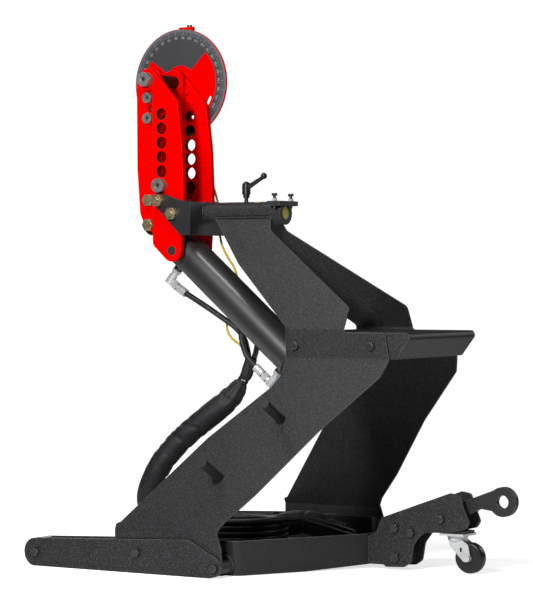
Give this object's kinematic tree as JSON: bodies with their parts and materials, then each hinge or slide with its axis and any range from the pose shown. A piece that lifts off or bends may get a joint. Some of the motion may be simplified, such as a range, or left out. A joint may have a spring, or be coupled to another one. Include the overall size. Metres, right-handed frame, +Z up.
{
  "type": "hydraulic tube bender",
  "caption": "Free-standing shop tube bender: red swing head with degree disc, slanted hydraulic cylinder, folded plate frame, hose tray, low legs and a tow bar on a caster.",
  "frame": {"origin": "on the floor, at the middle of the footprint's box", "axes": "+X towards the tow eye, +Y towards the side with the degree disc, +Z up"},
  "size_m": [1.124, 0.808, 1.331],
  "materials": {
    "frame_charcoal": "fine textured powder coat, speckled",
    "head_red": "gloss red powder coat",
    "head_black": "satin black powder coat",
    "cylinder_black": "semi-gloss black paint",
    "pin_steel": "machined steel, oiled",
    "rod_chrome": "hard chrome",
    "black_bolts": "black oxide",
    "gold_bolts": "yellow zinc plate",
    "bright_zinc": "bright zinc plate",
    "dial": "red powder coat with a dark printed scale",
    "bronze_bush": "turned bronze",
    "hose_rubber": "braid-textured rubber",
    "wheel_tread": "moulded hard rubber",
    "sleeve_cloth": "woven nylon",
    "cable_yellow": "PVC jacket",
    "yellow_plug": "moulded",
    "lever_black": "moulded handle"
  },
  "bodies": {
    "root": {"side_plate_front": "frame_charcoal", "side_plate_rear": "frame_charcoal", "spine_tube": "frame_charcoal", "head_bracket": "head_black", "ear_bolts": "gold_bolts", "fixed_arm_front": "head_red", "fixed_arm_rear": "head_red", "main_pin": "pin_steel", "hose_upper": "hose_rubber", "hose_lower": "hose_rubber", "hose_leads": "hose_rubber", "knee_channel": "frame_charcoal", "frame_bolts": "black_bolts", "tray": "frame_charcoal", "leg_outer_front": "frame_charcoal", "leg_inner_front": "frame_charcoal", "leg_outer_rear": "frame_charcoal", "leg_inner_rear": "frame_charcoal", "leg_spacers": "frame_charcoal", "tow_plate_front": "frame_charcoal", "tow_plate_rear": "frame_charcoal", "tow_web": "frame_charcoal", "tow_bolts": "black_bolts", "caster_plate": "bright_zinc", "storage_pegs": "frame_charcoal", "end_collar": "frame_charcoal", "tube_plug": "yellow_plug", "cross_bar": "frame_charcoal", "lock_nuts": "bright_zinc", "sensor_box": "lever_black", "hose_sleeve": "sleeve_cloth", "hose_coil": "hose_rubber", "cable_coil": "cable_yellow", "couplers": "bright_zinc", "sensor_cable": "cable_yellow"},
    "swing_arm": {"swing_arm_front": "head_red", "swing_arm_rear": "head_red", "arm_cheeks": "head_black", "arm_bolts": "gold_bolts", "drive_pins": "pin_steel"},
    "cylinder": {"barrel": "cylinder_black", "trunnion_collar": "cylinder_black", "base_cap": "cylinder_black", "rod_gland": "bronze_bush", "port_fittings": "bright_zinc"},
    "ram": {"piston": "pin_steel", "piston_rod": "rod_chrome", "rod_eye": "cylinder_black"},
    "dial": {"degree_disc": "dial", "trip_stop": "head_red"},
    "follower": {"follower_pin": "pin_steel"},
    "lever": {"clamp_lever": "lever_black"},
    "front_screw": {"thumb_screw_front": "black_bolts"},
    "rear_screw": {"thumb_screw_rear": "black_bolts"},
    "tow_bar": {"tow_eye_bar": "frame_charcoal"},
    "caster": {"caster_fork": "bright_zinc", "caster_axle": "bright_zinc"},
    "caster_roller": {"caster_wheel": "wheel_tread"},
    "front_roller": {"leg_wheel_front": "wheel_tread"},
    "rear_roller": {"leg_wheel_rear": "wheel_tread"}
  },
  "joints": [
    {"name": "arm_swing", "type": "hinge", "parent": "root", "child": "swing_arm", "pos_m": [-0.42, 0, 1.184], "axis": [0, 1, 0], "range_deg": [0, 41.88]},
    {"name": "cylinder_tilt", "type": "hinge", "parent": "root", "child": "cylinder", "pos_m": [-0.3505, 0, 0.7585], "axis": [0, 1, 0], "range_deg": [-13.37, 0], "deforming": ["hose_upper", "hose_lower"]},
    {"name": "rod_slide", "type": "slide", "parent": "cylinder", "child": "ram", "axis": [-0.7604, 0, 0.6494], "range_m": [0, 0.254]},
    {"name": "dial_turn", "type": "hinge", "parent": "root", "child": "dial", "pos_m": [-0.42, 0, 1.184], "axis": [0, 1, 0], "continuous": true},
    {"name": "follower_pull", "type": "slide", "parent": "root", "child": "follower", "axis": [0, -1, 0], "range_m": [0, 0.17]},
    {"name": "lever_turn", "type": "hinge", "parent": "root", "child": "lever", "pos_m": [-0.176, 0, 0.878], "axis": [0, 0, 1], "continuous": true},
    {"name": "front_screw_turn", "type": "hinge", "parent": "root", "child": "front_screw", "pos_m": [-0.071, -0.038, 0.878], "axis": [0, 0, 1], "continuous": true},
    {"name": "rear_screw_turn", "type": "hinge", "parent": "root", "child": "rear_screw", "pos_m": [-0.071, 0.038, 0.878], "axis": [0, 0, 1], "continuous": true},
    {"name": "tow_bar_lift", "type": "hinge", "parent": "root", "child": "tow_bar", "pos_m": [0.379, 0, 0.126], "axis": [0, 1, 0], "range_deg": [-40, 22]},
    {"name": "caster_swivel", "type": "hinge", "parent": "root", "child": "caster", "pos_m": [0.4075, 0, 0.08], "axis": [0, 0, 1], "continuous": true},
    {"name": "caster_roll", "type": "hinge", "parent": "caster", "child": "caster_roller", "pos_m": [0.441, 0, 0.0365], "axis": [0, 1, 0], "continuous": true},
    {"name": "front_leg_roll", "type": "hinge", "parent": "root", "child": "front_roller", "pos_m": [-0.527, 0, 0.034], "axis": [0, 1, 0], "continuous": true},
    {"name": "rear_leg_roll", "type": "hinge", "parent": "root", "child": "rear_roller", "pos_m": [-0.527, 0, 0.034], "axis": [0, 1, 0], "continuous": true}
  ],
  "couplings": [
    {"joint": "cylinder_tilt", "follows": "arm_swing", "ratio": -0.31925},
    {"joint": "rod_slide", "follows": "arm_swing", "m_per_rad": 0.3475}
  ]
}
